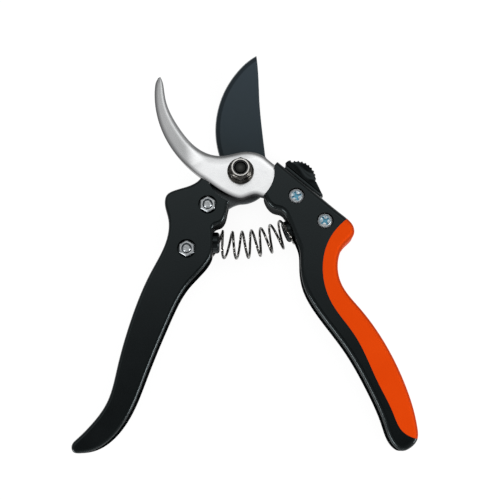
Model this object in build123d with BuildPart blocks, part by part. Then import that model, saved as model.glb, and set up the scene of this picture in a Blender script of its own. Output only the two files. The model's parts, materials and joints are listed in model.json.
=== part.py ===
from build123d import *
from math import cos, radians, sin
import os

os.makedirs("parts", exist_ok=True)

# One-hand bypass pruning shears, lying open on their back.
# The origin is on the pivot axis, in the plane of the pivot bolt head's outer face.
# +Z points out of the front face, +Y towards the blade tip, +X towards the grip side.

# ---- Heights of the stacked layers, measured from the back (mm)
handle_thickness = 15.0
bolt_head_height = 3.4
washer_thickness = 1.0
blade_thickness = 2.9
hook_bottom = 7.4
hook_thickness = 5.0
hook_tang_thickness = 4.0
tang_step_gap = 0.1
tang_reach = 90.0
hook_slope = 0.057
hook_slope_start = (-18.0, 6.0)
hook_slope_way = (-0.45, 0.89)
running_gap = 0.05
blade_bottom = bolt_head_height + washer_thickness + running_gap
parting_height = hook_bottom
hook_top = hook_bottom + hook_thickness

# ---- Pivot
disc_radius = 15.0
shell_arc_radius = 16.6
shank_radius = 4.0
shank_clearance = 0.05
thread_radius = 3.0
thread_clearance = 0.05
bolt_head_across_flats = 12.0
bolt_chamfer = 0.6
washer_radius = 7.5
flange_radius = 6.5
flange_height = 1.4
flange_bevel = (0.8, 1.2)
nut_across_flats = 10.0
nut_hex_height = 6.2
nut_corner_radius = 5.65
nut_corner_bevel = 1.1
collar_radius = 4.6
collar_round = 0.45
nut_height = 7.8
insert_radius = 3.65
insert_height = 1.6
insert_sink = 0.5
thread_end = 19.6

# ---- Handles
left_edge_round = 1.6
right_edge_round = 2.2
inlay_depth = 2.2

# ---- Handle screws and nuts (M4)
left_screw_spots = {"upper": (-15.8, -17.1), "lower": (-25.7, -38.7)}
right_screw_spots = {"upper": (27.0, -12.7), "lower": (40.7, -25.0)}
screw_radius = 2.0
screw_hole_radius = 2.1
screw_head_radius = 3.65
screw_head_height = 2.3
screw_head_round = 1.9
screw_end_bevel = 0.5
recess_span = 4.8
recess_width = 1.15
recess_middle_radius = 1.15
recess_depth = 1.6
recess_turns = {"upper": 20.0, "lower": 35.0}
head_recess_radius = 4.1
head_recess_depth = 2.5
screw_nut_across_flats = 7.0
screw_nut_height = 3.2
screw_nut_corner_radius = 3.94
screw_nut_bevel = 0.4
nut_mouth_bevel = 0.45
nut_bore_clearance = 0.03
nut_recess_radius = 4.6
nut_recess_depth = 2.4
deep_nut_recess_depth = 3.4
left_screw_end = 16.4
right_screw_end = 0.4

# ---- Return spring and its seats
spring_radius = 6.7
spring_inner_radius = 5.6
spring_end_gap = 0.4
spring_middle = (5.2, -35.7)
boss_radius = 5.15
boss_length = 3.2
boss_round = 1.3
tenon_radius = 3.0
tenon_length = 4.2
seat_height = handle_thickness / 2
left_seat = (-13.4, -34.6)
left_seat_angle = 0.0
right_seat = (24.2, -28.5)
right_seat_angle = 180.0 + 21.7

# ---- Pivot motion: the blade half turns by this much from wide open to closed
closing_angle = 48.0

# ---- Thumb lock. Its own axes run along its slide, towards the pivot, and out from the pivot.
slide_angle = 139.6
edge_out = 15.1
lock_travel = 6.0
lock_play = 0.15
notch_clearance = 0.3
notch_shift = 2.7
notch_extra_length = 2.0
bolt_out = (10.2, 13.0)
bolt_along = (-27.5, -11.8)
neck_along = (-27.0, -20.0)
rib_out = (15.4, 17.0)
rib_along = (-37.6, -15.0)
rib_inset = 1.2
pad_bottom = 2.6
pad_top = 12.4
pad_arc_centre = (-23.5, 14.6)
pad_arc_radius = 9.5
serration_count = 10
serration_step = 11.5
serration_radius = 0.8


def on_circle(radius, angle):
    return (radius * cos(radians(angle)), radius * sin(radians(angle)))


def on_slide(along, out):
    """The point that lies this far along the lock's slide and this far out from the pivot."""
    slide = radians(slide_angle)
    return (
        along * cos(slide) + out * sin(slide),
        along * sin(slide) - out * cos(slide),
    )


def slide_plane(height, turn=0.0):
    """A plane whose X runs along the lock's slide and whose Y runs in towards the pivot."""
    return Plane(origin=(0, 0, height), x_dir=(*on_circle(1, slide_angle + turn), 0), z_dir=(0, 0, 1))


def seat_plane(seat, angle):
    """A plane at a spring seat's foot, facing along the seat's own axis."""
    return Plane(
        origin=(*seat, seat_height), x_dir=(0, 0, 1), z_dir=(*on_circle(1, angle), 0)
    )


def save(piece, name):
    piece.label = name
    export_step(piece, f"parts/{name}.step")


# ---------------------------------------------------------------- outlines
with BuildSketch() as blade_outline:
    with BuildLine():
        tip = (7.8, 61.2)
        heel = on_circle(disc_radius, 36)
        # The cutting edge.
        Spline(
            tip, (4.0, 58.6), (-3.7, 50.2), (-8.6, 41.6), (-11.4, 33.0),
            (-12.6, 21.5), (-11.9, 14.5), (-10.4, 8.5),
        )
        # The tang's outer side.
        Spline(
            (-10.4, 8.5), (-11.6, 2.0), (-14.8, -4.2), (-23.0, -10.6), (-30.6, -14.6),
            (-32.4, -20.0), (-31.6, -28.0), (-33.4, -38.0), (-36.2, -46.0), (-33.6, -50.4),
        )
        # The tang's inner side.
        Spline(
            (-33.6, -50.4), (-28.0, -49.0), (-21.6, -42.0), (-19.2, -33.5), (-14.0, -26.0),
            (-9.0, -21.5), (-6.6, -18.2), (-3.4, -16.0), on_circle(disc_radius, 270),
        )
        # The disc's free side.
        ThreePointArc(
            on_circle(disc_radius, 270), on_circle(disc_radius, 330), heel
        )
        # The blade's spine.
        Spline(heel, (10.4, 24.0), (9.3, 37.0), (8.8, 50.0), tip)
    make_face()

with BuildSketch() as hook_outline:
    with BuildLine():
        hook_tip = (-40.2, 49.4)
        # The jaw side, from the tip over the plate's top.
        Spline(
            hook_tip, (-38.9, 46.5), (-38.2, 42.5), (-36.8, 35.5), (-33.6, 28.0), (-28.4, 19.8),
            (-22.8, 13.4), (-16.6, 9.4), (-10.4, 8.0), (-4.2, 8.9), (2.6, 10.2), (8.5, 9.2),
            (12.1, 7.2),
        )
        # The line that runs in under the shell.
        Line((12.1, 7.2), on_slide(-46.5, 13.2))
        # The tang's end.
        ThreePointArc(
            on_slide(-46.5, 13.2), on_slide(-52.0, 7.6), on_slide(-46.5, 2.0)
        )
        # The tang's lower side.
        Line(on_slide(-46.5, 2.0), on_slide(-25.0, 2.0))
        # The plate's lower side.
        Spline(
            on_slide(-25.0, 2.0), (12.6, -12.9), (10.4, -12.3), (7.6, -11.4), (4.4, -12.0),
            (0.2, -13.3), (-4.0, -12.3), (-10.0, -9.1), (-19.7, -2.4),
        )
        # The hook's back.
        Spline(
            (-19.7, -2.4), (-27.6, 4.5), (-34.1, 12.6), (-38.6, 20.8), (-41.4, 29.0),
            (-42.8, 38.0), (-42.7, 44.5), (-41.8, 47.9), hook_tip,
        )
    make_face()

with BuildSketch() as left_outline:
    with BuildLine():
        arc_low = on_circle(shell_arc_radius, 251)
        arc_high = on_circle(shell_arc_radius, 202)
        corner = (-19.2, -3.6)
        # The arc round the disc.
        ThreePointArc(arc_low, on_circle(shell_arc_radius, 226), arc_high)
        # The shoulder.
        Line(arc_high, corner)
        # The whole outer side, the end, and the inner side with the spring's wall.
        Spline(
            corner, (-24.6, -7.5), (-31.8, -9.8), (-35.7, -12.2), (-36.6, -16.0),
            (-34.8, -24.0), (-35.3, -33.5), (-42.7, -49.9), (-51.8, -72.9), (-57.8, -95.6),
            (-62.4, -112.0), (-70.2, -122.8), (-75.6, -128.2), (-78.0, -131.4), (-77.4, -134.0),
            (-73.6, -134.8), (-64.0, -131.6), (-54.3, -121.5), (-44.3, -98.8), (-33.5, -71.8),
            (-25.1, -56.2), (-16.6, -46.6), (-14.0, -42.0), (-13.4, -38.0), (-13.4, -31.2),
            (-13.2, -28.6), (-12.0, -27.2), (-9.8, -26.4), (-7.8, -24.2), (-6.6, -20.0), arc_low,
        )
    make_face()

with BuildSketch() as right_outline:
    with BuildLine():
        arc_upper = on_circle(shell_arc_radius, 8)
        arc_lower = on_circle(shell_arc_radius, -47)
        nose = on_slide(-10.9, edge_out)
        # The arc round the disc.
        ThreePointArc(arc_lower, on_circle(shell_arc_radius, -20), arc_upper)
        # The nose beside the lock.
        Line(arc_upper, nose)
        # The whole outer side, the end, and the inner side with the spring's wall.
        Spline(
            nose, on_slide(-18.0, edge_out), on_slide(-28.0, edge_out), on_slide(-40.0, edge_out),
            on_slide(-48.0, edge_out), (51.2, -23.6), (54.2, -27.2), (54.6, -31.2), (50.2, -36.4),
            (46.8, -44.0), (48.0, -55.0), (56.7, -67.2), (67.4, -82.4), (77.9, -105.0),
            (82.4, -123.0), (82.2, -128.6), (79.0, -132.3), (74.6, -133.7), (71.4, -131.6),
            (66.9, -121.5), (60.6, -106.4), (49.6, -86.6), (36.0, -68.0), (30.4, -57.5),
            (28.6, -46.5), (28.2, -39.0), (26.6, -34.5), (24.2, -28.5), (22.0, -23.0),
            (19.8, -20.2), (16.0, -19.0), (12.8, -16.0), arc_lower,
        )
    make_face()

# The soft inlay's region: from its inner border out past the handle's outer edge.
with BuildSketch() as inlay_region:
    with BuildLine():
        # The inlay's border on the handle's face.
        Spline(
            (53.5, -22.6), (47.6, -27.4), (42.4, -34.6), (39.6, -43.5), (39.5, -53.0),
            (42.7, -63.8), (54.0, -80.4), (64.3, -102.3), (71.2, -116.9), (74.8, -124.4),
            (79.4, -127.5), (85.0, -128.2),
        )
        Polyline((85.0, -128.2), (110.0, -128.2), (110.0, -22.6), (53.5, -22.6))
    make_face()

# What stays black under the inlay: everything inside the handle's outer edge by its depth.
with BuildSketch() as inlay_core:
    with BuildLine():
        Spline(
            (46.0, -20.0), (49.9, -24.8), (51.9, -28.0), (51.6, -31.0), (47.9, -35.4),
            (44.5, -44.0), (45.8, -55.8), (54.9, -68.6), (65.4, -83.5), (75.7, -105.8),
            (80.1, -123.4), (79.9, -129.5), (79.0, -134.0),
        )
        Polyline((79.0, -134.0), (20.0, -134.0), (20.0, -20.0), (46.0, -20.0))
    make_face()

# ---------------------------------------------------------------- blades
with BuildPart() as cutting_blade:
    with BuildSketch(Plane.XY.offset(blade_bottom)):
        add(blade_outline.sketch)
        Circle(shank_radius + shank_clearance, mode=Mode.SUBTRACT)
        with Locations(*left_screw_spots.values()):
            Circle(screw_hole_radius, mode=Mode.SUBTRACT)
    extrude(amount=blade_thickness)
    # The lock's bolt drops into one notch with the blades closed. The other keeps the disc
    # clear of the bolt with the blades open.
    for turn in (0, -closing_angle):
        with BuildSketch(slide_plane(blade_bottom, turn)):
            with Locations((bolt_along[1] + notch_shift, -sum(bolt_out) / 2)):
                Rectangle(
                    lock_travel + notch_extra_length,
                    bolt_out[1] - bolt_out[0] + 2 * notch_clearance,
                )
        extrude(amount=blade_thickness, mode=Mode.SUBTRACT)
save(cutting_blade.part, "cutting_blade")

with BuildPart() as counter_blade:
    with BuildSketch(Plane.XY.offset(hook_bottom)):
        add(hook_outline.sketch)
        Circle(shank_radius + shank_clearance, mode=Mode.SUBTRACT)
        with Locations(*right_screw_spots.values()):
            Circle(screw_hole_radius, mode=Mode.SUBTRACT)
    extrude(amount=hook_thickness)
    # The tang under the front shell is thinner than the plate.
    with BuildSketch(slide_plane(hook_bottom + hook_tang_thickness)):
        with Locations((-tang_reach / 2, 0)):
            Rectangle(tang_reach, tang_reach)
        Circle(shell_arc_radius - tang_step_gap, mode=Mode.SUBTRACT)
    extrude(amount=hook_thickness, mode=Mode.SUBTRACT)
    # The hook's front slopes down towards its tip.
    split(
        bisect_by=Plane(
            origin=(*hook_slope_start, hook_top),
            z_dir=(hook_slope_way[0] * hook_slope, hook_slope_way[1] * hook_slope, 1),
        ),
        keep=Keep.BOTTOM,
    )
save(counter_blade.part, "counter_blade")

# ---------------------------------------------------------------- pivot
with BuildPart() as pivot_bolt:
    with BuildSketch():
        RegularPolygon(bolt_head_across_flats / 2, 6, major_radius=False)
    extrude(amount=bolt_head_height)
    chamfer(pivot_bolt.faces().sort_by(Axis.Z)[0].edges(), bolt_chamfer)
    with BuildSketch(Plane.XY.offset(bolt_head_height)):
        Circle(shank_radius)
    extrude(amount=hook_top - bolt_head_height)
    with BuildSketch(Plane.XY.offset(hook_top)):
        Circle(thread_radius)
    extrude(amount=thread_end - hook_top)
    chamfer(pivot_bolt.faces().sort_by(Axis.Z)[-1].edges(), bolt_chamfer)
save(pivot_bolt.part, "pivot_bolt")

with BuildPart() as pivot_washer:
    with BuildSketch(Plane.XY.offset(bolt_head_height)):
        Circle(washer_radius)
        Circle(shank_radius + shank_clearance, mode=Mode.SUBTRACT)
    extrude(amount=washer_thickness)
save(pivot_washer.part, "pivot_washer")

# The nut's hexagon, its upper corners turned off.
with BuildPart() as nut_hexagon:
    with BuildSketch(Plane.XY.offset(hook_top)):
        Circle(nut_corner_radius)
    extrude(amount=nut_hex_height)
    chamfer(nut_hexagon.faces().sort_by(Axis.Z)[-1].edges(), nut_corner_bevel)
    with BuildSketch(Plane.XY.offset(hook_top)):
        RegularPolygon(nut_across_flats / 2, 6, major_radius=False, rotation=30)
    extrude(amount=nut_hex_height, mode=Mode.INTERSECT)

with BuildPart() as pivot_nut:
    with BuildSketch(Plane.XY.offset(hook_top)):
        Circle(flange_radius)
    extrude(amount=flange_height)
    chamfer(
        pivot_nut.faces().sort_by(Axis.Z)[-1].edges(), length=flange_bevel[0], length2=flange_bevel[1]
    )
    add(nut_hexagon.part)
    with BuildSketch(Plane.XY.offset(hook_top)):
        Circle(collar_radius)
    extrude(amount=nut_height)
    fillet(pivot_nut.faces().sort_by(Axis.Z)[-1].edges(), collar_round)
    with BuildSketch(Plane.XY.offset(hook_top)):
        Circle(thread_radius + thread_clearance)
    extrude(amount=nut_height, mode=Mode.SUBTRACT)
    with BuildSketch(Plane.XY.offset(hook_top + nut_height)):
        Circle(insert_radius)
    extrude(amount=-insert_height - insert_sink, mode=Mode.SUBTRACT)
save(pivot_nut.part, "pivot_nut")

with BuildPart() as pivot_nut_insert:
    with BuildSketch(Plane.XY.offset(hook_top + nut_height - insert_sink)):
        Circle(insert_radius)
        Circle(thread_radius + thread_clearance, mode=Mode.SUBTRACT)
    extrude(amount=-insert_height)
save(pivot_nut_insert.part, "pivot_nut_insert")

# ---------------------------------------------------------------- spring and its seats
for name, seat, angle in (
    ("spring_seat_left", left_seat, left_seat_angle),
    ("spring_seat_right", right_seat, right_seat_angle),
):
    with BuildPart() as spring_seat:
        with BuildSketch(seat_plane(seat, angle)):
            Circle(boss_radius)
        extrude(amount=boss_length)
        head_edge = spring_seat.edges().filter_by(GeomType.CIRCLE).sort_by(
            lambda edge: (edge.center() - seat_plane(seat, angle).origin).length
        )[-1]
        fillet(head_edge, boss_round)
        with BuildSketch(seat_plane(seat, angle)):
            Circle(tenon_radius)
        extrude(amount=-tenon_length)
    save(spring_seat.part, name)


def past_boss(seat, angle):
    reach = boss_length + spring_end_gap
    step = on_circle(reach, angle)
    return (seat[0] + step[0], seat[1] + step[1], seat_height)


# The coil's envelope: a sleeve along the bowed line between the two bosses.
with BuildPart() as main_spring:
    with BuildLine():
        bow = ThreePointArc(
            past_boss(left_seat, left_seat_angle),
            (*spring_middle, seat_height),
            past_boss(right_seat, right_seat_angle),
        )
    with BuildSketch(Plane(origin=bow @ 0, z_dir=bow % 0)):
        Circle(spring_radius)
        Circle(spring_inner_radius, mode=Mode.SUBTRACT)
    sweep()
save(main_spring.part, "main_spring")

# ---------------------------------------------------------------- thumb lock
with BuildPart() as lock_slide:
    # The bolt, flat between the counter blade's tang and the back shell.
    with BuildSketch(slide_plane(blade_bottom)):
        with Locations((sum(bolt_along) / 2, -sum(bolt_out) / 2)):
            Rectangle(bolt_along[1] - bolt_along[0], bolt_out[1] - bolt_out[0])
        with Locations((sum(neck_along) / 2, -(bolt_out[0] + rib_out[1]) / 2)):
            Rectangle(neck_along[1] - neck_along[0], rib_out[1] - bolt_out[0])
    extrude(amount=blade_thickness)
    # The rib under the pad.
    with BuildSketch(slide_plane(pad_bottom + rib_inset)):
        with Locations((sum(rib_along) / 2, -sum(rib_out) / 2)):
            Rectangle(rib_along[1] - rib_along[0], rib_out[1] - rib_out[0])
    extrude(amount=pad_top - pad_bottom - 2 * rib_inset)
    # The thumb pad: a straight foot, a round back with finger serrations and a low tail.
    with BuildSketch(slide_plane(pad_bottom)):
        with BuildLine():
            Line((-14.6, -17.0), (-13.8, -17.6))
            front = Spline((-13.8, -17.6), (-14.2, -19.2), (-16.4, -21.0))
            back = ThreePointArc(
                (-16.4, -21.0),
                (pad_arc_centre[0], -pad_arc_centre[1] - pad_arc_radius),
                (-31.0, -20.2),
            )
            Polyline((-31.0, -20.2), (-37.6, -17.6), (-38.2, -17.0), (-14.6, -17.0))
        make_face()
        with Locations((pad_arc_centre[0], -pad_arc_centre[1])):
            with PolarLocations(
                pad_arc_radius + 0.35,
                serration_count,
                start_angle=270 - serration_step * (serration_count - 1) / 2 + 1,
                angular_range=serration_step * (serration_count - 1),
                endpoint=True,
            ):
                Circle(serration_radius, mode=Mode.SUBTRACT)
    extrude(amount=pad_top - pad_bottom)
save(lock_slide.part, "lock_slide")

# ---------------------------------------------------------------- handles
def handle_blank(outline, edge_round):
    """A whole handle before it is parted: the outline with rounded long edges, front and back."""
    with BuildPart() as blank:
        with BuildSketch():
            add(outline)
        extrude(amount=handle_thickness)
        long_edges = blank.edges().filter_by(
            lambda edge: edge.length > 40 and abs(edge.start_point().Z - edge.end_point().Z) < 1
        )
        fillet(long_edges, edge_round)
    return blank.part


def seat_space(seat, angle):
    """What a spring seat takes out of a handle: its tenon's socket and a flat for the last coil."""
    with BuildPart() as space:
        with BuildSketch(seat_plane(seat, angle)):
            Circle(spring_radius + spring_end_gap)
        extrude(amount=boss_length)
        with BuildSketch(seat_plane(seat, angle)):
            Circle(tenon_radius)
        extrude(amount=-tenon_length)
    return space.part


left_blank = handle_blank(left_outline.sketch, left_edge_round)
right_blank = handle_blank(right_outline.sketch, right_edge_round)
left_seat_space = seat_space(left_seat, left_seat_angle)
right_seat_space = seat_space(right_seat, right_seat_angle)

with BuildPart() as left_handle_front:
    add(left_blank)
    split(bisect_by=Plane.XY.offset(parting_height), keep=Keep.TOP)
    with BuildSketch(Plane.XY.offset(handle_thickness)):
        with Locations(*left_screw_spots.values()):
            Circle(nut_recess_radius)
    extrude(amount=-nut_recess_depth, mode=Mode.SUBTRACT)
    with BuildSketch():
        with Locations(*left_screw_spots.values()):
            Circle(screw_hole_radius)
    extrude(amount=handle_thickness, mode=Mode.SUBTRACT)
    add(left_seat_space, mode=Mode.SUBTRACT)
save(left_handle_front.part, "left_handle_front")

with BuildPart() as left_handle_back:
    add(left_blank)
    split(bisect_by=Plane.XY.offset(parting_height), keep=Keep.BOTTOM)
    with BuildSketch(Plane.XY.offset(parting_height)):
        add(blade_outline.sketch)
    extrude(amount=-(parting_height - blade_bottom), mode=Mode.SUBTRACT)
    with BuildSketch():
        with Locations(*left_screw_spots.values()):
            Circle(head_recess_radius)
    extrude(amount=head_recess_depth, mode=Mode.SUBTRACT)
    with BuildSketch():
        with Locations(*left_screw_spots.values()):
            Circle(screw_hole_radius)
    extrude(amount=handle_thickness, mode=Mode.SUBTRACT)
    add(left_seat_space, mode=Mode.SUBTRACT)
save(left_handle_back.part, "left_handle_back")

# The soft inlay wraps the grip handle's outer edge, flush with both shells.
with BuildPart() as right_grip:
    with BuildSketch():
        add(inlay_region.sketch)
    extrude(amount=handle_thickness)
    add(right_blank, mode=Mode.INTERSECT)
    with BuildSketch(Plane.XY.offset(inlay_depth)):
        add(inlay_core.sketch)
    extrude(amount=handle_thickness - 2 * inlay_depth, mode=Mode.SUBTRACT)
save(right_grip.part, "right_grip")

with BuildPart() as right_handle_front:
    add(right_blank)
    split(bisect_by=Plane.XY.offset(parting_height), keep=Keep.TOP)
    add(right_grip.part, mode=Mode.SUBTRACT)
    with BuildSketch(Plane.XY.offset(hook_bottom)):
        add(hook_outline.sketch)
    extrude(amount=hook_tang_thickness, mode=Mode.SUBTRACT)
    with BuildSketch(Plane.XY.offset(handle_thickness)):
        with Locations(*right_screw_spots.values()):
            Circle(head_recess_radius)
    extrude(amount=-head_recess_depth, mode=Mode.SUBTRACT)
    with BuildSketch():
        with Locations(*right_screw_spots.values()):
            Circle(screw_hole_radius)
    extrude(amount=handle_thickness, mode=Mode.SUBTRACT)
    add(right_seat_space, mode=Mode.SUBTRACT)
save(right_handle_front.part, "right_handle_front")

with BuildPart() as right_handle_back:
    add(right_blank)
    split(bisect_by=Plane.XY.offset(parting_height), keep=Keep.BOTTOM)
    add(right_grip.part, mode=Mode.SUBTRACT)
    # The slot that the lock's bolt and neck slide in.
    with BuildSketch(slide_plane(blade_bottom - running_gap)):
        with Locations(((bolt_along[0] - lock_play) / 2, -sum(bolt_out) / 2)):
            Rectangle(-bolt_along[0] + lock_play, bolt_out[1] - bolt_out[0] + 2 * lock_play)
        with Locations(((sum(neck_along) + lock_travel) / 2, -(bolt_out[0] + rib_out[1]) / 2)):
            Rectangle(
                neck_along[1] - neck_along[0] + lock_travel + 2 * lock_play,
                rib_out[1] - bolt_out[0],
            )
    extrude(amount=handle_thickness, mode=Mode.SUBTRACT)
    with BuildSketch():
        with Locations(*right_screw_spots.values()):
            Circle(nut_recess_radius)
    extrude(amount=deep_nut_recess_depth, mode=Mode.SUBTRACT)
    with BuildSketch():
        with Locations(*right_screw_spots.values()):
            Circle(screw_hole_radius)
    extrude(amount=handle_thickness, mode=Mode.SUBTRACT)
    add(right_seat_space, mode=Mode.SUBTRACT)
save(right_handle_back.part, "right_handle_back")

# ---------------------------------------------------------------- handle screws and nuts
def faces_along(piece, facing):
    return piece.faces().sort_by(Axis(origin=(0, 0, 0), direction=(0, 0, facing)))


def pan_screw(spot, seat, facing, end, turn):
    """A cross-recess pan head screw, its head on the seat height, facing up (1) or down (-1)."""
    plane = Plane(origin=(*spot, seat), x_dir=(*on_circle(1, turn), 0), z_dir=(0, 0, facing))
    with BuildPart() as screw:
        with BuildSketch(plane):
            Circle(screw_head_radius)
        extrude(amount=screw_head_height)
        fillet(faces_along(screw, facing)[-1].edges(), screw_head_round)
        with BuildSketch(plane.offset(screw_head_height)):
            Rectangle(recess_span, recess_width)
            Rectangle(recess_width, recess_span)
            Circle(recess_middle_radius)
        extrude(amount=-recess_depth, mode=Mode.SUBTRACT)
        with BuildSketch(plane):
            Circle(screw_radius)
        extrude(amount=-abs(end - seat))
        chamfer(faces_along(screw, facing)[0].edges(), screw_end_bevel)
    return screw.part


def hex_nut(spot, seat, facing):
    """A hexagon nut with rounded-off corners, standing on the seat height."""
    plane = Plane(origin=(*spot, seat), z_dir=(0, 0, facing))
    with BuildPart() as nut:
        with BuildSketch(plane):
            RegularPolygon(screw_nut_across_flats / 2, 6, major_radius=False, rotation=30)
            Circle(screw_nut_corner_radius, mode=Mode.INTERSECT)
        extrude(amount=screw_nut_height)
        chamfer(faces_along(nut, facing)[-1].edges(), screw_nut_bevel)
        with BuildSketch(plane):
            Circle(screw_radius + nut_bore_clearance)
        extrude(amount=screw_nut_height, mode=Mode.SUBTRACT)
        chamfer(faces_along(nut, facing)[-1].inner_wires()[0].edges(), nut_mouth_bevel)
    return nut.part


for place, spot in left_screw_spots.items():
    screw = pan_screw(spot, head_recess_depth, -1, left_screw_end, recess_turns[place])
    save(screw, f"left_screw_{place}")
    save(hex_nut(spot, handle_thickness - nut_recess_depth, 1), f"left_nut_{place}")

for place, spot in right_screw_spots.items():
    seat = handle_thickness - head_recess_depth
    screw = pan_screw(spot, seat, 1, right_screw_end, recess_turns[place])
    save(screw, f"right_screw_{place}")
    save(hex_nut(spot, deep_nut_recess_depth, -1), f"right_nut_{place}")
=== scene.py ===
import json
import math

import bmesh
import bpy
import numpy as np
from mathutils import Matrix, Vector
from mathutils.geometry import delaunay_2d_cdt


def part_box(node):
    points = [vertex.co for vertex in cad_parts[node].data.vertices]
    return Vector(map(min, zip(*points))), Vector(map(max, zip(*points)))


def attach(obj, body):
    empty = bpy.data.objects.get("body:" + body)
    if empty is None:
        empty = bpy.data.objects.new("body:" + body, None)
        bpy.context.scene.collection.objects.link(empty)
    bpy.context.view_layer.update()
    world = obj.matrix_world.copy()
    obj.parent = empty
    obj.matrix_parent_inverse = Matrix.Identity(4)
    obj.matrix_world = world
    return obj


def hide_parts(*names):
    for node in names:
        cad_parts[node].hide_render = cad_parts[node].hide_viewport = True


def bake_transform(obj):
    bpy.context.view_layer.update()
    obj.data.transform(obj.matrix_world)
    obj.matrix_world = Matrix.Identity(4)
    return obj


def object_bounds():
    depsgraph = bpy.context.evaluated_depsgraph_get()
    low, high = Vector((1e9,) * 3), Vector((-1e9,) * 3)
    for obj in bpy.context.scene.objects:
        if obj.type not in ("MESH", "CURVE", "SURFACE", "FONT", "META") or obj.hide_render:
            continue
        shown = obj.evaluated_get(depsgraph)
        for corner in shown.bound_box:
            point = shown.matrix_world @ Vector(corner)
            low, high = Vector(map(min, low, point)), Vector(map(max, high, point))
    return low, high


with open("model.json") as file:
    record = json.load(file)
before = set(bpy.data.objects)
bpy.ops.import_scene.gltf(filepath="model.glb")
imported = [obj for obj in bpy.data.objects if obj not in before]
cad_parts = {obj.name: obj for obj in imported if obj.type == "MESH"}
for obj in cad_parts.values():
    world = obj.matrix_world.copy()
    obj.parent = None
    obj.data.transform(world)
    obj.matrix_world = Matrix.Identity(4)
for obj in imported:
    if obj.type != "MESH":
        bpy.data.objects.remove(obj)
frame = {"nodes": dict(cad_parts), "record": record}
cad_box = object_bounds()
nodes = frame["nodes"]

MM = 0.001
# Most of a noise's values lie in this range.
NOISE_RANGE = (0.3, 0.7)


def smoothstep(low, high, value):
    t = np.clip((value - low) / (high - low), 0.0, 1.0)
    return t * t * (3 - 2 * t)


def mix(a, b, share):
    return a + (b - a) * share


# ================================================================ shader nodes
def map_range(tree, value, low, high, to_low=0.0, to_high=1.0, steps="LINEAR"):
    """Maps value from low..high onto to_low..to_high, clamped."""
    node = tree.nodes.new("ShaderNodeMapRange")
    node.interpolation_type = steps
    for name, number in zip(("From Min", "From Max", "To Min", "To Max"), (low, high, to_low, to_high)):
        node.inputs[name].default_value = number
    tree.links.new(value, node.inputs["Value"])
    return node.outputs["Result"]


def calculate(tree, operation, a, b):
    """One operation on two values, each a number or a socket."""
    node = tree.nodes.new("ShaderNodeMath")
    node.operation = operation
    for socket, value in zip(node.inputs, (a, b)):
        if isinstance(value, (int, float)):
            socket.default_value = value
        else:
            tree.links.new(value, socket)
    return node.outputs["Value"]


def component(tree, vector, axis):
    """One of a vector's three numbers."""
    parts = tree.nodes.new("ShaderNodeSeparateXYZ")
    tree.links.new(vector, parts.inputs["Vector"])
    return parts.outputs[axis]


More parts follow.
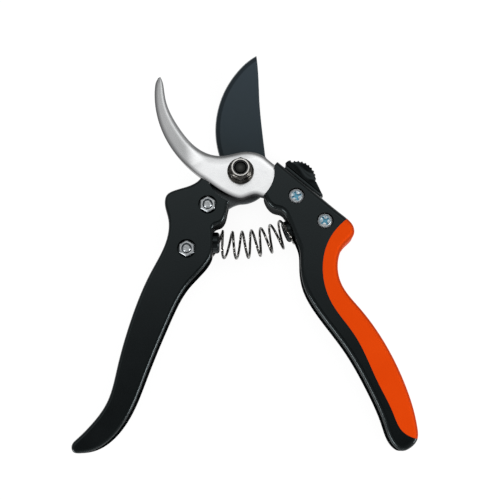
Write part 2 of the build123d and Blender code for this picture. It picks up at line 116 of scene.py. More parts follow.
# ================================================================ materials
class Paint:
    """A node material being put together: its Principled shader and a few shorthands."""

    def __init__(self, name):
        self.material = bpy.data.materials.new(name)
        self.material.use_nodes = True
        self.tree = self.material.node_tree
        self.shader = self.tree.nodes["Principled BSDF"]
        self.place = self.tree.nodes.new("ShaderNodeTexCoord").outputs["Object"]
        self.bumps = []

    def set(self, **values):
        for name, value in values.items():
            self.shader.inputs[name.replace("_", " ")].default_value = value

    def link(self, source, target):
        self.tree.links.new(source, target)

    def noise(self, size, stretch=(1, 1, 1), detail=4.0, turn=0.0):
        """Noise whose features are about size metres across, drawn out along its axes by stretch."""
        mapping = self.tree.nodes.new("ShaderNodeMapping")
        mapping.inputs["Rotation"].default_value = (0, 0, turn)
        mapping.inputs["Scale"].default_value = [1 / (size * s) for s in stretch]
        self.link(self.place, mapping.inputs["Vector"])
        noise = self.tree.nodes.new("ShaderNodeTexNoise")
        noise.inputs["Scale"].default_value = 1.0
        noise.inputs["Detail"].default_value = detail
        noise.inputs["Roughness"].default_value = 0.55
        self.link(mapping.outputs["Vector"], noise.inputs["Vector"])
        return noise.outputs["Fac"]

    def spread(self, value, low, high, to_low=0.0, to_high=1.0):
        """Maps value from low..high onto to_low..to_high, clamped."""
        return map_range(self.tree, value, low, high, to_low, to_high)

    def math(self, operation, a, b):
        return calculate(self.tree, operation, a, b)

    def both(self, first, second):
        """A mask that is 1 only where both masks are."""
        return self.math("MULTIPLY", first, second)

    def blend(self, share, first, second):
        """A colour that goes from first to second as share goes from 0 to 1."""
        node = self.tree.nodes.new("ShaderNodeMix")
        node.data_type = "RGBA"
        self.link(share, node.inputs["Factor"])
        sockets = [s for s in node.inputs if s.type == "RGBA"]
        for socket, colour in zip(sockets, (first, second)):
            if isinstance(colour, tuple):
                socket.default_value = (*colour, 1)
            else:
                self.link(colour, socket)
        return [s for s in node.outputs if s.type == "RGBA"][0]

    def attribute(self, name):
        node = self.tree.nodes.new("ShaderNodeAttribute")
        node.attribute_name = name
        return node.outputs["Fac"]

    def along(self, axis):
        """The object coordinate along this axis, in metres."""
        return component(self.tree, self.place, axis)

    def radius(self):
        """The distance from the pivot's axis, in metres."""
        x, y = self.along("X"), self.along("Y")
        squares = self.math("ADD", self.both(x, x), self.both(y, y))
        return self.math("SQRT", squares, 0.0)

    def facing_up(self):
        """1 on faces square to the front or back, 0 on side walls."""
        normal = self.tree.nodes.new("ShaderNodeNewGeometry").outputs["Normal"]
        return self.math("ABSOLUTE", component(self.tree, normal, "Z"), 0.0)

    def edges(self, radius):
        """A mask of about 1 near sharp outer and inner edges and 0 away from them."""
        bevel = self.tree.nodes.new("ShaderNodeBevel")
        bevel.samples = 6
        bevel.inputs["Radius"].default_value = radius
        geometry = self.tree.nodes.new("ShaderNodeNewGeometry")
        dot = self.tree.nodes.new("ShaderNodeVectorMath")
        dot.operation = "DOT_PRODUCT"
        self.link(bevel.outputs["Normal"], dot.inputs[0])
        self.link(geometry.outputs["Normal"], dot.inputs[1])
        return self.spread(dot.outputs["Value"], 0.995, 0.80)

    def recesses(self, reach):
        """A mask of about 1 deep in corners and grooves and 0 on open faces."""
        node = self.tree.nodes.new("ShaderNodeAmbientOcclusion")
        node.samples = 8
        node.inputs["Distance"].default_value = reach
        return self.spread(node.outputs["AO"], 0.80, 0.40)

    def bump(self, height, depth):
        """Stacks one more layer of relief, whose height of 0..1 stands for depth metres."""
        node = self.tree.nodes.new("ShaderNodeBump")
        node.inputs["Strength"].default_value = 1.0
        node.inputs["Distance"].default_value = depth
        self.link(height, node.inputs["Height"])
        if self.bumps:
            self.link(self.bumps[-1].outputs["Normal"], node.inputs["Normal"])
        self.bumps.append(node)
        self.link(node.outputs["Normal"], self.shader.inputs["Normal"])

    def mottle(self, noise, first, second):
        """A colour that wanders from first to second with a noise."""
        return self.blend(self.spread(noise, *NOISE_RANGE), first, second)

    def colour(self, output):
        self.link(output, self.shader.inputs["Base Color"])

    def roughness(self, noise, low, high):
        """Lets the roughness wander from low to high with a noise."""
        self.link(self.spread(noise, *NOISE_RANGE, low, high), self.shader.inputs["Roughness"])


def satin_steel():
    """Forged steel, blasted and then brushed. Its jaw and spine edges, the arm's crest and its slopes are
    painted darker, as painted shade.

    The mesh's attributes say which points are on the arm, and how far they are from each edge.
    """
    plate_edge_shade, arm_edge_shade = (0.26, 0.265, 0.265), (0.50, 0.51, 0.515)
    paint = Paint("satin_steel")
    paint.set(Metallic=1.0)
    cloud = paint.noise(9 * MM)
    fine = paint.noise(0.35 * MM, stretch=(6, 1, 1), turn=math.radians(-35))
    blotch = paint.noise(2.2 * MM, detail=6)
    face = paint.blend(paint.spread(cloud, 0.35, 0.65), (0.88, 0.89, 0.895), (0.82, 0.83, 0.84))
    face = paint.blend(paint.spread(blotch, 0.60, 0.78, 0, 0.20), face, (0.70, 0.71, 0.72))
    upright = paint.facing_up()
    arm = paint.attribute("arm")
    # Painted shade: the arm's flat crest is painted darker.
    crest_shade = paint.both(arm, paint.spread(upright, 0.94, 0.985))
    face = paint.blend(crest_shade, face, (0.58, 0.59, 0.595))
    # Painted shade: a darker band along the jaw edge, lighter on the arm than on the plate.
    jaw_edge_shade = paint.spread(paint.attribute("to_jaw"), 4.8 * MM, 0.6 * MM)
    face = paint.blend(jaw_edge_shade, face, paint.blend(arm, plate_edge_shade, arm_edge_shade))
    # Painted shade: a dark band along the spine edge.
    spine_edge_shade = paint.spread(paint.attribute("to_spine"), 2.0 * MM, 0.2 * MM)
    face = paint.blend(spine_edge_shade, face, (0.20, 0.20, 0.205))
    # Painted shade: tilted faces and side walls are painted darker, the steeper the darker.
    slope_shade = paint.blend(paint.spread(upright, 0.25, 0.80), (0.085, 0.085, 0.09), (0.28, 0.285, 0.29))
    paint.colour(paint.blend(paint.spread(upright, 0.75, 0.92), slope_shade, face))
    paint.roughness(fine, 0.26, 0.30)
    paint.bump(fine, 0.0008 * MM)
    paint.bump(blotch, 0.0010 * MM)
    return paint.material


def satin_steel_shaded_side():
    """The plate's lower side walls, painted dark and with no reflection, as painted shade."""
    paint = Paint("satin_steel_shaded_side")
    cloud = paint.noise(1.5 * MM)
    paint.colour(paint.mottle(cloud, (0.040, 0.041, 0.042), (0.065, 0.066, 0.068)))
    paint.roughness(cloud, 0.5, 0.6)
    paint.set(Specular_IOR_Level=0.0)
    paint.bump(cloud, 0.01 * MM)
    return paint.material


def coated_steel():
    """Blade steel under a dark non-stick coating, ground bright at the very edge."""
    to_edge = "to_cutting_edge"
    paint = Paint("coated_steel")
    cloud = paint.noise(14 * MM)
    grain = paint.noise(0.30 * MM)
    height = paint.along("Y")
    # The body gets lighter towards the tip, higher up the blade.
    upward_tone = paint.math("ADD", paint.spread(height, 15 * MM, 62 * MM), cloud)
    body = paint.blend(paint.spread(upward_tone, 0.3, 1.5), (0.0035, 0.010, 0.015), (0.018, 0.028, 0.040))
    # Painted light: the part of the disc that shows below the hook is painted lighter.
    disc = paint.spread(height, -5 * MM, -10 * MM)
    body = paint.blend(disc, body, (0.075, 0.078, 0.081))
    # The honed band is rougher, and its colour is painted darker as painted shade.
    hone = paint.spread(paint.attribute(to_edge), 2.5 * MM, 2.1 * MM, 0, 0.55)
    body = paint.blend(hone, body, (0.001, 0.003, 0.004))
    ground = paint.spread(paint.attribute(to_edge), 0.45 * MM, 0.20 * MM)
    ground = paint.both(ground, paint.spread(paint.noise(1.2 * MM), 0.3, 0.6, 0.55, 1.0))
    worn = paint.both(paint.edges(0.18 * MM), paint.spread(grain, 0.4, 0.6, 0.1, 0.5))
    bare = paint.math("MAXIMUM", ground, worn)
    paint.colour(paint.blend(bare, body, (0.45, 0.47, 0.48)))
    paint.link(paint.math("MULTIPLY", bare, 0.9), paint.shader.inputs["Metallic"])
    smooth = paint.spread(cloud, *NOISE_RANGE, 0.28, 0.36)
    rough = paint.math("ADD", smooth, paint.math("MULTIPLY", hone, 0.45))
    paint.link(rough, paint.shader.inputs["Roughness"])
    paint.set(Specular_IOR_Level=0.35, Specular_Tint=(0.80, 0.95, 1.0, 1.0))
    paint.bump(grain, 0.004 * MM)
    return paint.material


def black_plastic(name="black_plastic", gloss=0.30, smooth=0.20, pivot_end_light=(0.0015, 0.0020, 0.0021)):
    """Glass-filled nylon with a fine eroded grain. At the pivot end its body goes to pivot_end_light, a
    painted light.
    """
    paint = Paint(name)
    cloud = paint.noise(30 * MM)
    grain = paint.noise(0.22 * MM, detail=3)
    speck = paint.noise(0.9 * MM, detail=6)
    body = paint.mottle(cloud, (0.0010, 0.0014, 0.0015), (0.0022, 0.0028, 0.0030))
    # Painted light: near the pivot end the body goes to pivot_end_light.
    pivot_end = paint.spread(paint.along("Y"), -30 * MM, -22 * MM)
    body = paint.blend(pivot_end, body, pivot_end_light)
    paint.colour(paint.blend(paint.spread(speck, 0.64, 0.80, 0, 0.5), body, (0.008, 0.009, 0.009)))
    paint.roughness(cloud, smooth, smooth + 0.08)
    paint.set(Specular_IOR_Level=gloss, Specular_Tint=(0.80, 0.96, 1.0, 1.0))
    paint.bump(grain, 0.0025 * MM)
    paint.bump(speck, 0.0025 * MM)
    return paint.material


def black_plastic_shaded_side():
    """The same nylon on side walls: rougher, as the mould leaves it, with no reflection at all as painted
    shade, and its pivot end painted lighter as painted light.
    """
    return black_plastic("black_plastic_shaded_side", gloss=0.0, smooth=0.45, pivot_end_light=(0.030, 0.032, 0.033))


def orange_rubber():
    """Soft moulded inlay, matt with a faint bloom. Its rounded rim is painted darker, as painted shade."""
    paint = Paint("orange_rubber")
    cloud = paint.noise(26 * MM)
    grain = paint.noise(0.18 * MM, detail=3)
    body = paint.mottle(cloud, (0.85, 0.063, 0.002), (0.90, 0.072, 0.003))
    # Painted shade: faces that tilt away from the front are painted darker.
    rim = paint.spread(paint.facing_up(), 0.98, 0.80)
    body = paint.blend(rim, body, (0.44, 0.036, 0.0012))
    paint.colour(paint.blend(paint.spread(grain, 0.6, 0.8, 0, 0.3), body, (0.78, 0.054, 0.002)))
    paint.roughness(cloud, 0.58, 0.68)
    paint.set(Specular_IOR_Level=0.10, Specular_Tint=(1.0, 0.45, 0.15, 1.0))
    paint.bump(grain, 0.008 * MM)
    return paint.material


def dark_fastener():
    """Black-plated steel, worn bright along its edges. A bright ring on the lock nut's rolled collar and
    the lighter middle of the bolt end are painted highlights.
    """
    bright = (0.70, 0.69, 0.66)
    paint = Paint("dark_fastener")
    paint.set(Metallic=1.0)
    cloud = paint.noise(1.6 * MM, detail=6)
    radius, height = paint.radius(), paint.along("Z")
    # Painted highlight: a bright ring on top of the lock nut's rolled collar.
    ring = paint.both(paint.spread(radius, 3.70 * MM, 3.85 * MM), paint.spread(radius, 4.4 * MM, 4.2 * MM))
    collar_highlight = paint.both(ring, paint.spread(height, 18.6 * MM, 19.0 * MM))
    bolt_end = paint.both(paint.spread(radius, 3.4 * MM, 3.2 * MM), paint.spread(height, 12 * MM, 13 * MM))
    worn = paint.both(paint.edges(0.28 * MM), paint.spread(cloud, 0.38, 0.58, 0.30, 0.60))
    worn = paint.both(worn, paint.math("SUBTRACT", 1.0, bolt_end))
    body = paint.blend(paint.spread(cloud, 0.4, 0.7), (0.024, 0.023, 0.021), (0.058, 0.054, 0.049))
    # Painted highlight: the bolt end's middle is painted lighter, as if domed.
    middle = paint.spread(radius, 1.8 * MM, 0.2 * MM)
    body = paint.blend(bolt_end, body, paint.blend(middle, (0.016, 0.017, 0.016), (0.045, 0.045, 0.043)))
    body = paint.blend(worn, body, bright)
    paint.colour(paint.blend(collar_highlight, body, bright))
    paint.roughness(cloud, 0.22, 0.34)
    paint.bump(cloud, 0.003 * MM)
    return paint.material


def zinc_fastener():
    """Clear zinc plate with its faint blue and straw tints. Its slopes and recesses are painted darker as
    painted shade, dark teal in the recesses.
    """
    paint = Paint("zinc_fastener")
    paint.set(Metallic=1.0)
    cloud = paint.noise(1.8 * MM, detail=5)
    blotch = paint.noise(0.8 * MM, detail=6)
    body = paint.blend(paint.spread(cloud, 0.35, 0.65), (0.56, 0.58, 0.59), (0.36, 0.385, 0.40))
    body = paint.blend(paint.spread(blotch, 0.52, 0.70, 0, 0.8), body, (0.12, 0.13, 0.14))
    # Painted shade: tilted faces are painted darker.
    slopes_shade = paint.spread(paint.facing_up(), 0.97, 0.88, 0, 0.60)
    body = paint.blend(slopes_shade, body, (0.09, 0.10, 0.11))
    # Painted shade: recesses and gaps are painted dark teal.
    paint.colour(paint.blend(paint.recesses(1.6 * MM), body, (0.030, 0.11, 0.16)))
    paint.roughness(blotch, 0.30, 0.44)
    paint.bump(blotch, 0.004 * MM)
    return paint.material


CROSS_DEPTH = 1.6 * MM


def zinc_screw_head():
    """The front screws' heads: cleaner zinc with a blue bloom. Their rims are painted bright and less
    metallic as a painted highlight, and the cross's floor is painted dark teal as painted shade.
    """
    paint = Paint("zinc_screw_head")
    paint.set(Metallic=1.0)
    cloud = paint.noise(1.5 * MM, detail=5)
    blotch = paint.noise(0.7 * MM, detail=6)
    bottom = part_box("right_screw_upper")[1].z - CROSS_DEPTH
    height = paint.along("Z")
    below = paint.spread(height, bottom + 0.15 * MM, bottom + 0.05 * MM)
    above = paint.spread(height, bottom - 0.15 * MM, bottom - 0.05 * MM)
    body = paint.blend(paint.spread(cloud, 0.42, 0.58), (0.84, 0.87, 0.88), (0.34, 0.48, 0.56))
    body = paint.blend(paint.spread(blotch, 0.54, 0.66, 0, 0.8), body, (0.12, 0.20, 0.25))
    # Painted highlight: the rounded rim is painted bright and made less metallic.
    rim = paint.spread(paint.facing_up(), 0.92, 0.70)
    body = paint.blend(rim, body, (0.85, 0.89, 0.92))
    paint.link(paint.spread(rim, 0.0, 1.0, 1.0, 0.15), paint.shader.inputs["Metallic"])
    # Painted shade: the cross's floor is painted dark teal.
    cross_floor_shade = paint.both(below, above)
    paint.colour(paint.blend(cross_floor_shade, body, (0.12, 0.34, 0.47)))
    paint.roughness(blotch, 0.30, 0.44)
    paint.bump(blotch, 0.004 * MM)
    return paint.material


def nylon():
    """The lock nut's nylon ring."""
    paint = Paint("nylon")
    cloud = paint.noise(0.8 * MM)
    paint.colour(paint.mottle(cloud, (0.006, 0.006, 0.007), (0.014, 0.014, 0.015)))
    paint.roughness(cloud, 0.3, 0.5)
    paint.bump(cloud, 0.02 * MM)
    return paint.material


def spring_steel():
    """Oiled spring wire, dark, with bright speckles that are painted highlights."""
    paint = Paint("spring_steel")
    paint.set(Metallic=1.0)
    cloud = paint.noise(0.75 * MM, detail=5)
    # Painted highlights: sparse bright speckles on the dark wire.
    paint.colour(paint.blend(paint.spread(cloud, 0.56, 0.63), (0.016, 0.0155, 0.014), (0.80, 0.78, 0.74)))
    paint.roughness(cloud, 0.16, 0.26)
    paint.bump(cloud, 0.008 * MM)
    return paint.material


MAKERS = {
    "satin_steel": satin_steel,
    "satin_steel_shaded_side": satin_steel_shaded_side,
    "coated_steel": coated_steel,
    "black_plastic": black_plastic,
    "black_plastic_shaded_side": black_plastic_shaded_side,
    "orange_rubber": orange_rubber,
    "dark_fastener": dark_fastener,
    "zinc_fastener": zinc_fastener,
    "zinc_screw_head": zinc_screw_head,
    "nylon": nylon,
    "spring_steel": spring_steel,
}
looks = {name: make() for name, make in MAKERS.items()}

# A face is a side wall if its normal's Z is under this.
SHELL_WALL = 0.21
HOOK_WALL = 0.3


def paint_nodes():
    """Gives every CAD node the look of its material slot."""
    for subpart in frame["record"]["subparts"]:
        name, slot = subpart["node"], subpart["material_slot"]
        mesh = nodes[name].data
        mesh.materials.clear()
        mesh.materials.append(looks["zinc_screw_head" if name.startswith("right_screw") else slot])
        if slot == "black_plastic":
            # Side walls get the shaded copy of the nylon, as painted shade.
            mesh.materials.append(looks["black_plastic_shaded_side"])
            for polygon in mesh.polygons:
                polygon.material_index = int(abs(polygon.normal.z) < SHELL_WALL)


# ================================================================ meshes
def flat_loops(node, height):
    """The closed outlines of a CAD node's flat face at this height, the longest first."""
    snap = 1e-6
    mesh = nodes[node].data
    points = np.array([v.co for v in mesh.vertices])
    key = [tuple(np.round(p[:2] / snap).astype(int)) for p in points]
    edges = {}
    for polygon in mesh.polygons:
        corners = list(polygon.vertices)
        if max(abs(points[c][2] - height) for c in corners) > 2 * snap:
            continue
        for a, b in zip(corners, corners[1:] + corners[:1]):
            edges[(key[a], key[b])] = (points[a][:2], points[b][:2])
    rim = {a: (b, pair) for (a, b), pair in edges.items() if (b, a) not in edges}
    loops = []
    while rim:
        here = next(iter(rim))
        loop = []
        while here in rim:
            here, pair = rim.pop(here)
            loop.append(pair[0])
        loops.append(np.array(loop))
    return sorted(loops, key=lambda loop: -np.linalg.norm(loop - np.roll(loop, 1, 0), axis=1).sum())


def resample(loop, spacing):
    """The same closed outline with long edges cut up, and its corners kept."""
    fine = []
    for a, b in zip(loop, np.roll(loop, -1, 0)):
        count = max(1, int(np.ceil(np.linalg.norm(b - a) / spacing)))
        fine += [a + (b - a) * k / count for k in range(count)]
    return np.array(fine)


def distance(points, starts, ends):
    """How far each point is from the nearest of some straight edges."""
    best = np.full(len(points), 1e9)
    for a, b in zip(starts, ends):
        d = b - a
        length = max(d @ d, 1e-18)
        t = np.clip(((points - a) @ d) / length, 0, 1)
        best = np.minimum(best, np.hypot(*(points - a - t[:, None] * d).T))
    return best


def inside(points, loops):
    """Which points lie inside the loops, holes left out."""
    crossings = np.zeros(len(points), int)
    for loop in loops:
        for (ax, ay), (bx, by) in zip(loop, np.roll(loop, -1, 0)):
            if ay == by:
                continue
            spans = (ay > points[:, 1]) != (by > points[:, 1])
            x = ax + (points[:, 1] - ay) / (by - ay) * (bx - ax)
            crossings += spans & (points[:, 0] < x)
    return crossings % 2 == 1


def outward(loops):
    """Each edge's start, end and outward direction, over all the loops."""
    starts = np.concatenate(loops)
    ends = np.concatenate([np.roll(loop, -1, 0) for loop in loops])
    d = ends - starts
    normal = np.stack([d[:, 1], -d[:, 0]], 1) / np.maximum(np.hypot(*d.T), 1e-12)[:, None]
    middle = (starts + ends) / 2
    flip = inside(middle + normal * 1e-5, loops)
    normal[flip] *= -1
    return starts, ends, normal


def edge_rows(loops, rings, starts, ends, normal):
    """Rows of points inside the outline, one row at each ring distance from it."""
    splits = np.cumsum([len(loop) for loop in loops])[:-1]
    corner_normal = normal + np.concatenate([np.roll(part, 1, 0) for part in np.split(normal, splits)])
    corner_normal /= np.maximum(np.hypot(*corner_normal.T), 1e-9)[:, None]
    rows = []
    for ring in rings:
        moved = starts - corner_normal * ring
        keep = inside(moved, loops) & (distance(moved, starts, ends) > ring * 0.98)
        rows.append(moved[keep])
    return np.concatenate(rows)


def grid_points(loops, spacing, margin, starts, ends):
    """A grid of points inside the loops, further than margin from the outline."""
    row_spacing = spacing * 0.866
    low, high = starts.min(0), starts.max(0)
    xs = np.arange(low[0], high[0], spacing)
    ys = np.arange(low[1], high[1], row_spacing)
    field = np.array([(x + (k % 2) * spacing / 2, y) for k, y in enumerate(ys) for x in xs])
    field = field[inside(field, loops)]
    return field[distance(field, starts, ends) > margin]


def triangulate(points, edges, loops):
    """The points and the triangles between them that lie inside the loops, with these edges kept."""
    unit = 1000
    made = delaunay_2d_cdt([Vector(p * unit) for p in points], edges, [], 1, 1e-6)
    flat = np.array(made[0]) / unit
    triangles = np.array(made[2])
    triangles = triangles[inside(flat[triangles].mean(1), loops)]
    used = np.unique(triangles)
    index = np.full(len(flat), -1)
    index[used] = np.arange(len(used))
    return flat[used], index[triangles]


def solid(name, vertices, faces, sharp):
    """A smooth-shaded object whose normals point out and whose edges past sharp degrees stay crisp."""
    mesh = bpy.data.meshes.new(name)
    mesh.from_pydata([tuple(v) for v in vertices], [], [tuple(int(i) for i in face) for face in faces])
    mesh.validate()
    body = bmesh.new()
    body.from_mesh(mesh)
    bmesh.ops.recalc_face_normals(body, faces=body.faces)
    body.to_mesh(mesh)
    body.free()
    mesh.polygons.foreach_set("use_smooth", [True] * len(mesh.polygons))
    mesh.set_sharp_from_angle(angle=math.radians(sharp))
    made = bpy.data.objects.new(name, mesh)
    bpy.context.scene.collection.objects.link(made)
    return made


def plate(name, loops, rings, grid, front, back, creases=()):
    """A closed plate over the loops. front and back give the heights of its two faces at points.

    The mesh has a row of vertices at each ring distance from the outline and a grid inside them,
    and edges along the creases.
    """
    crease_gap = 0.25 * MM
    starts, ends, normal = outward(loops)
    rows = edge_rows(loops, rings, starts, ends, normal)
    field = grid_points(loops, grid, rings[-1] + grid * 0.6, starts, ends)
    inner = np.concatenate([rows, field])
    for crease in creases:
        inner = inner[distance(inner, crease[:-1], crease[1:]) > crease_gap]
    points = np.concatenate([starts, inner])
    firsts = np.cumsum([0] + [len(loop) for loop in loops])
    edges = [
        (first + k, first + (k + 1) % len(loop))
        for first, loop in zip(firsts, loops)
        for k in range(len(loop))
    ]
    for crease in creases:
        edges += [(len(points) + k, len(points) + k + 1) for k in range(len(crease) - 1)]
        points = np.concatenate([points, crease])
    flat, triangles = triangulate(points, edges, loops)
    vertices = np.concatenate([np.column_stack([flat, face(flat)]) for face in (front, back)])
    count = len(flat)
    directed = {(a, b) for t in triangles for a, b in ((t[0], t[1]), (t[1], t[2]), (t[2], t[0]))}
    walls = [(a, b) for a, b in directed if (b, a) not in directed]
    faces = [tuple(t) for t in triangles] + [tuple(t[::-1] + count) for t in triangles]
    faces += [(b, a, a + count, b + count) for a, b in sorted(walls)]
    return solid(name, vertices, faces, sharp=28), vertices


def rows_at(*distances):
    """Ring distances given in millimetres."""
    return [d * MM for d in distances]


def note(made, name, values):
    """Keeps one number for each vertex, for the piece's material to read."""
    attribute = made.data.attributes.new(name, "FLOAT", "POINT")
    attribute.data.foreach_set("value", values.astype(np.float32))


def dress(made, slot, body):
    made.data.materials.append(looks[slot])
    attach(made, body)


def round_over(distance_in, width, depth):
    """How far a face drops at this distance from its edge, on an elliptical round."""
    t = np.clip(distance_in / width, 0, 1)
    return depth * (1 - np.sqrt(np.maximum(0.0, 1 - (1 - t) ** 2)))


# ---------------------------------------------------------------- counter blade
TANG_RADIUS = 16.5 * MM
TANG_THICKNESS = 4.0 * MM
# Edges that face within a right angle of this direction are the jaw's. The others are the spine's.
JAW_WAY = np.array([0.6, 0.8])
# From this point on, the arm's top falls away towards the tip at this slope.
ARM_START = np.array([-18, 6]) * MM
ARM_FALL = np.array([-0.45, 0.89]) * 0.057
ARM_EDGE = 1.4 * MM
# Where the arm's ridge lies, from 0 at the spine to 1 at the jaw.
RIDGE = 0.74


def on_arm(points, near, far):
    """0 on the plate, and 1 on the arm beyond this far from the pivot."""
    return smoothstep(near, far, np.hypot(*points[:, :2].T)) * (points[:, 0] < 0)


def tang_creases(loops):
    """Two arcs close together, where the plate steps down to its tang."""
    half_step = 0.02 * MM
    turns = np.radians(np.arange(-60, 22, 1.5))
    arc = np.stack([np.cos(turns), np.sin(turns)], 1)
    arcs = [arc * (TANG_RADIUS + side * half_step) for side in (-1, 1)]
    return [arc[inside(arc, loops)] for arc in arcs]


def counter_blade():
    """The hook: a flat plate at the pivot that runs out into a crowned, tapering arm."""
    low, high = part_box("counter_blade")
    loops = [resample(loop, 0.5 * MM) for loop in flat_loops("counter_blade", low.z)]
    starts, ends, normal = outward(loops[:1])
    jaw_side = normal @ JAW_WAY > 0
    jaw_edges = starts[jaw_side], ends[jaw_side]
    spine_edges = starts[~jaw_side], ends[~jaw_side]

    def front(points):
        jaw = distance(points, *jaw_edges)
        spine = distance(points, *spine_edges)
        upper = high.z - np.maximum(0, (points - ARM_START) @ ARM_FALL)
        plate_top = upper - round_over(jaw, 2.9 * MM, 1.0 * MM)
        across = spine / np.maximum(spine + jaw, 1e-9)
        outer = 1 - np.clip((RIDGE - across) / RIDGE, 0, 1) ** 1.3
        inner = 1 - 0.5 * np.clip((across - RIDGE) / (1 - RIDGE), 0, 1) ** 2.2
        edge = low.z + ARM_EDGE
        arm_top = edge + (upper - edge) * np.minimum(outer, inner)
        top = mix(plate_top, arm_top, on_arm(points, 16 * MM, 42 * MM))
        below_nose = (points[:, 0] > 0) & (points[:, 1] < 8 * MM)
        tang = below_nose & (np.hypot(*points.T) > TANG_RADIUS)
        return np.where(tang, low.z + TANG_THICKNESS, top)

    def back(points):
        return low.z + round_over(distance(points, starts, ends), 0.5 * MM, 0.4 * MM)

    rings = rows_at(0.12, 0.3, 0.6, 1.0, 1.5, 2.1, 2.9)
    made, vertices = plate("hook", loops, rings, 1.0 * MM, front, back, tang_creases(loops))
    # to_jaw and to_spine place the steel's painted shade bands. The jaw distance is stretched on the arm
    # and towards the tail, which narrows the jaw band there.
    narrowing = 1 + 1.8 * on_arm(vertices, 16 * MM, 36 * MM)
    narrowing += 0.9 * smoothstep(2 * MM, 10 * MM, vertices[:, 0])
    note(made, "to_jaw", distance(vertices[:, :2], *jaw_edges) * narrowing)
    note(made, "to_spine", distance(vertices[:, :2], *spine_edges))
    note(made, "arm", on_arm(vertices, 24.5 * MM, 31 * MM))
    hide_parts("counter_blade")
    dress(made, "satin_steel", "grip_half")
    # The plate's lower side walls take the shaded copy of the steel, as painted shade.
    made.data.materials.append(looks["satin_steel_shaded_side"])
    for polygon in made.data.polygons:
        polygon.material_index = int(abs(polygon.normal.z) < HOOK_WALL and polygon.center.y < -8 * MM)


# ---------------------------------------------------------------- cutting blade
DISC_RADIUS = 24 * MM
BEVEL_WIDTH = 7.5 * MM
BEVEL_DEPTH = 2.45 * MM
HONE_WIDTH = 2.6 * MM
HONE_DEPTH = 0.14 * MM


def cutting_blade():
    """The bypass blade: flat in front, with a long bevel behind its curved cutting edge."""
    low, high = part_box("cutting_blade")
    loops = [resample(loop, 0.5 * MM) for loop in flat_loops("cutting_blade", low.z)]
    starts, ends, normal = outward(loops[:1])
    above_hook = (starts[:, 1] > 8.5 * MM) & (ends[:, 1] > 8.5 * MM)
    cutting = above_hook & (normal[:, 0] < -0.2)
    cutting_edges = starts[cutting], ends[cutting]
    disc = (starts[:, 1] < 6 * MM) & (np.hypot(*starts.T) < DISC_RADIUS)

    def front(points):
        edge = distance(points, starts, ends)
        cut = distance(points, *cutting_edges)
        arris = round_over(edge, 0.35 * MM, 0.25 * MM) * (cut > 0.5 * MM)
        hone = HONE_DEPTH * (1 - np.clip(cut / HONE_WIDTH, 0, 1))
        rim = round_over(distance(points, starts[disc], ends[disc]), 1.2 * MM, 0.8 * MM)
        return high.z - np.maximum(np.maximum(arris, hone), rim)

    def back(points):
        edge = distance(points, starts, ends)
        cut = distance(points, *cutting_edges)
        bevel = BEVEL_DEPTH * (1 - np.clip(cut / BEVEL_WIDTH, 0, 1)) ** 1.15
        return low.z + np.maximum(bevel, round_over(edge, 0.35 * MM, 0.3 * MM))

    rings = rows_at(0.15, 0.35, 0.6, 0.9, 1.2, 1.8, 2.6, 3.6)
    made, vertices = plate("blade", loops, rings, 1.3 * MM, front, back)
    note(made, "to_cutting_edge", distance(vertices[:, :2], *cutting_edges))
    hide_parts("cutting_blade")
    dress(made, "coated_steel", "blade_half")


# ---------------------------------------------------------------- spring
LEFT_SEAT = np.array([-13.4, -34.6]) * MM
RIGHT_SEAT = np.array([24.2, -28.5]) * MM
# The middle line leaves the left seat and reaches the right one in these directions. The larger
# SPRING_BOW is, the longer it keeps to them.
LEFT_WAY = math.radians(-12)
RIGHT_WAY = math.radians(21.7) + 0.10
SPRING_BOW = 41 * MM
SPRING_HEIGHT = 7.5 * MM
WIRE_RADIUS = 0.62 * MM
COIL_RADIUS = 6.5 * MM
# How far the coils lean from square to the middle line.
LEAN = math.radians(-3)
TURNS = 7
END_TURN = 0.10
STEPS_PER_TURN = 44
WIRE_SIDES = 12


def spring_line(t):
    """A point and direction on the spring's bowed middle line, from the left seat to the right one."""
    leave, arrive = [SPRING_BOW * np.array([math.cos(a), math.sin(a)]) for a in (LEFT_WAY, RIGHT_WAY)]
    spot = (
        (2 * t**3 - 3 * t**2 + 1) * LEFT_SEAT
        + (t**3 - 2 * t**2 + t) * leave
        + (3 * t**2 - 2 * t**3) * RIGHT_SEAT
        + (t**3 - t**2) * arrive
    )
    way = (
        (6 * t**2 - 6 * t) * (LEFT_SEAT - RIGHT_SEAT)
        + (3 * t**2 - 4 * t + 1) * leave
        + (3 * t**2 - 2 * t) * arrive
    )
    return spot, way / np.linalg.norm(way)


def wire_point(turn):
    """The wire's middle after this many turns. Outside 0..TURNS it stays flat on a seat."""
    margin = WIRE_RADIUS / np.linalg.norm(RIGHT_SEAT - LEFT_SEAT)
    share = mix(margin, 1 - margin, np.clip(turn / TURNS, 0, 1))
    spot, way = spring_line(share)
    lean = [[math.cos(LEAN), math.sin(LEAN)], [-math.sin(LEAN), math.cos(LEAN)]]
    side = np.array([-way[1], way[0]]) @ lean
    angle = 2 * math.pi * (turn - 0.5)
    flat = spot + side * COIL_RADIUS * math.cos(angle)
    return np.array([*flat, SPRING_HEIGHT + COIL_RADIUS * math.sin(angle)])


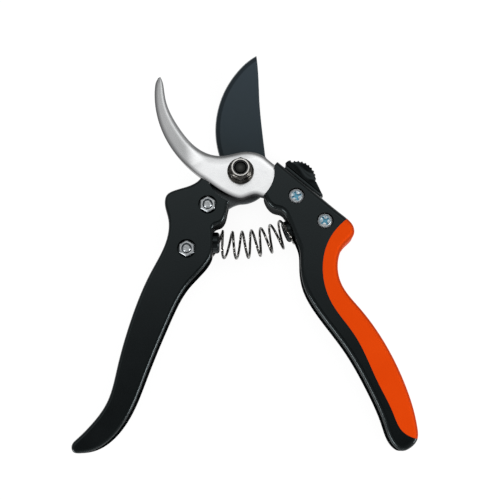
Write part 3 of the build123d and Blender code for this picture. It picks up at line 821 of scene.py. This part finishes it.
def wire(name, first, last):
    """A length of round wire from one turn count to another, with closed ends."""
    nudge = 1e-4
    count = max(2, round((last - first) * STEPS_PER_TURN))
    turns = [first + (last - first) * k / count for k in range(count + 1)]
    vertices, faces = [], []
    for turn in turns:
        here = wire_point(turn)
        way = wire_point(turn + nudge) - wire_point(turn - nudge)
        way /= np.linalg.norm(way)
        middle, _ = spring_line(np.clip(turn / TURNS, 0, 1))
        out = here - np.array([*middle, SPRING_HEIGHT])
        across = np.cross(way, out)
        across /= np.linalg.norm(across)
        up = np.cross(across, way)
        for k in range(WIRE_SIDES):
            a = 2 * math.pi * k / WIRE_SIDES
            vertices.append(here + WIRE_RADIUS * (math.cos(a) * across + math.sin(a) * up))
    for row in range(count):
        for k in range(WIRE_SIDES):
            a, b = row * WIRE_SIDES + k, row * WIRE_SIDES + (k + 1) % WIRE_SIDES
            faces.append((a, b, b + WIRE_SIDES, a + WIRE_SIDES))
    faces.append(tuple(range(WIRE_SIDES))[::-1])
    faces.append(tuple(count * WIRE_SIDES + k for k in range(WIRE_SIDES)))
    return solid(name, vertices, faces, sharp=60)


def main_spring():
    """One piece for each turn, so that the coils close up evenly, and a short end on each seat."""
    left_end = wire("spring_end_left", -END_TURN, 0.0)
    right_end = wire("spring_end_right", TURNS, TURNS + END_TURN)
    for made, body in ((left_end, "blade_half"), (right_end, "grip_half")):
        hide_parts("main_spring")
        dress(made, "spring_steel", body)
    for k in range(TURNS):
        made = wire(f"spring_turn_{k + 1}", k, k + 1)
        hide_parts("main_spring")
        made.data.materials.append(looks["spring_steel"])
        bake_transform(made)


# ---------------------------------------------------------------- thumb lock
# The lock's own axes: along its slide towards the pivot, and out from the pivot.
SLIDE_TURN = math.radians(139.6)
SLIDE_WAY = np.array([math.cos(SLIDE_TURN), math.sin(SLIDE_TURN)])
OUT_WAY = np.array([math.sin(SLIDE_TURN), -math.cos(SLIDE_TURN)])
# Along those axes: where the pad meets the handle, and the middle of its scoop.
PAD_FOOT = 17.0 * MM
SCOOP_ALONG = -25 * MM
SCOOP_OUT = 21 * MM
RIB_HEIGHTS = (3.8 * MM, 11.2 * MM)
BOLT_HEIGHTS = (4.45 * MM, 7.35 * MM)


def lock_pad():
    """The thumb pad, with its serrated back, its low tail and the scoop for the thumb."""
    low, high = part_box("lock_slide")
    loops = [resample(loop, 0.35 * MM) for loop in flat_loops("lock_slide", high.z)[:1]]
    starts, ends, _ = outward(loops)

    def front(points):
        along, out = points @ SLIDE_WAY, points @ OUT_WAY
        edge = round_over(distance(points, starts, ends), 0.6 * MM, 0.5 * MM)
        foot = 0.7 * MM * (1 - smoothstep(0, 3.0 * MM, out - PAD_FOOT))
        tail = 2.2 * MM * smoothstep(-28 * MM, -38 * MM, along)
        off_middle = ((along - SCOOP_ALONG) / (4.5 * MM)) ** 2 + ((out - SCOOP_OUT) / (2.2 * MM)) ** 2
        scoop = 0.9 * MM * np.exp(-off_middle)
        return high.z - edge - foot - tail - scoop

    def back(points):
        return low.z + round_over(distance(points, starts, ends), 0.6 * MM, 0.5 * MM)

    return plate("lock_pad", loops, rows_at(0.12, 0.3, 0.6), 0.6 * MM, front, back)[0]


def lock_bar(name, bottom, top):
    """A bar under the pad, with small rounds on its edges."""
    loops = [resample(loop, 0.6 * MM) for loop in flat_loops("lock_slide", bottom)[:1]]
    starts, ends, _ = outward(loops)

    def drop(points):
        return round_over(distance(points, starts, ends), 0.25 * MM, 0.2 * MM)

    def front(points):
        return top - drop(points)

    def back(points):
        return bottom + drop(points)

    return plate(name, loops, rows_at(0.1, 0.25), 1.0 * MM, front, back)[0]


def lock_slide():
    """The pad, and the rib and bolt under it."""
    for made in (lock_pad(), lock_bar("lock_rib", *RIB_HEIGHTS), lock_bar("lock_bolt", *BOLT_HEIGHTS)):
        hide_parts("lock_slide")
        dress(made, "black_plastic", "lock")


paint_nodes()
counter_blade()
cutting_blade()
main_spring()
lock_slide()


# ================================================================ floor, light, camera
FLOOR_REACH = 4.0
FLOOR_GAP = 0.3 * MM


def floor():
    """A pale floor that is lit from within as well, just under the tool."""
    height = cad_box[0].z - FLOOR_GAP
    mesh = bpy.data.meshes.new("floor")
    signs = [(-1, -1), (1, -1), (1, 1), (-1, 1)]
    mesh.from_pydata([(FLOOR_REACH * x, FLOOR_REACH * y, height) for x, y in signs], [], [(0, 1, 2, 3)])
    made = bpy.data.objects.new("floor", mesh)
    bpy.context.scene.collection.objects.link(made)
    paint = Paint("floor")
    paint.set(Base_Color=(0.15, 0.15, 0.15, 1), Roughness=0.9, Specular_IOR_Level=0.1)
    paint.set(Emission_Color=(1, 1, 1, 1), Emission_Strength=0.925)
    made.data.materials.append(paint.material)


def softbox(name, spot, width, height, radiance):
    """A soft rectangular light that faces the pivot, of this radiance."""
    data = bpy.data.lights.new(name, "AREA")
    data.shape = "RECTANGLE"
    data.size, data.size_y = width, height
    data.energy = radiance * math.pi * width * height
    made = bpy.data.objects.new(name, data)
    made.location = spot
    made.rotation_euler = (-Vector(spot)).to_track_quat("-Z", "Y").to_euler()
    bpy.context.scene.collection.objects.link(made)


def sky(around, above):
    """A grey surround that is bright high up beyond the blades, and dark just over the camera."""
    world = bpy.data.worlds.new("studio")
    bpy.context.scene.world = world
    world.use_nodes = True
    tree = world.node_tree
    place = tree.nodes.new("ShaderNodeTexCoord").outputs["Generated"]
    up = component(tree, place, "Z")
    beyond = map_range(tree, component(tree, place, "Y"), 0.0, 0.34, 0.0, above, steps="SMOOTHSTEP")
    high = map_range(tree, up, 0.74, 0.92, steps="SMOOTHSTEP")
    shade_rim, shade_middle = [math.cos(math.radians(angle)) for angle in (26, 8)]
    shade = map_range(tree, up, shade_rim, shade_middle, around, around * 0.2, steps="SMOOTHSTEP")
    strength = calculate(tree, "ADD", shade, calculate(tree, "MULTIPLY", beyond, high))
    tree.links.new(strength, tree.nodes["Background"].inputs["Strength"])
    tree.nodes["Background"].inputs["Color"].default_value = (1, 1, 1, 1)


CAMERA_SPOT = (0.004576, -0.130133, 0.504127)
CAMERA_TILT = math.radians(10.5)


def camera():
    """The view from above the handles' ends, tilted a little towards the blades."""
    data = bpy.data.cameras.new("camera")
    data.lens = 75
    data.sensor_width = 36
    data.clip_start = 0.02
    data.clip_end = 20
    data.dof.use_dof = False
    made = bpy.data.objects.new("camera", data)
    made.location = CAMERA_SPOT
    made.rotation_euler = (CAMERA_TILT, 0, 0)
    bpy.context.scene.collection.objects.link(made)
    bpy.context.scene.camera = made


floor()
sky(around=0.42, above=1.2)
softbox("left_strip", (-0.90, -0.80, 0.30), 0.6, 0.16, 23.0)
softbox("right_strip", (0.90, -0.38, 0.28), 0.45, 0.18, 27.0)
softbox("front_strip", (0.05, -1.00, 0.26), 0.9, 0.10, 3.0)
camera()
bpy.context.scene.view_settings.view_transform = "Standard"
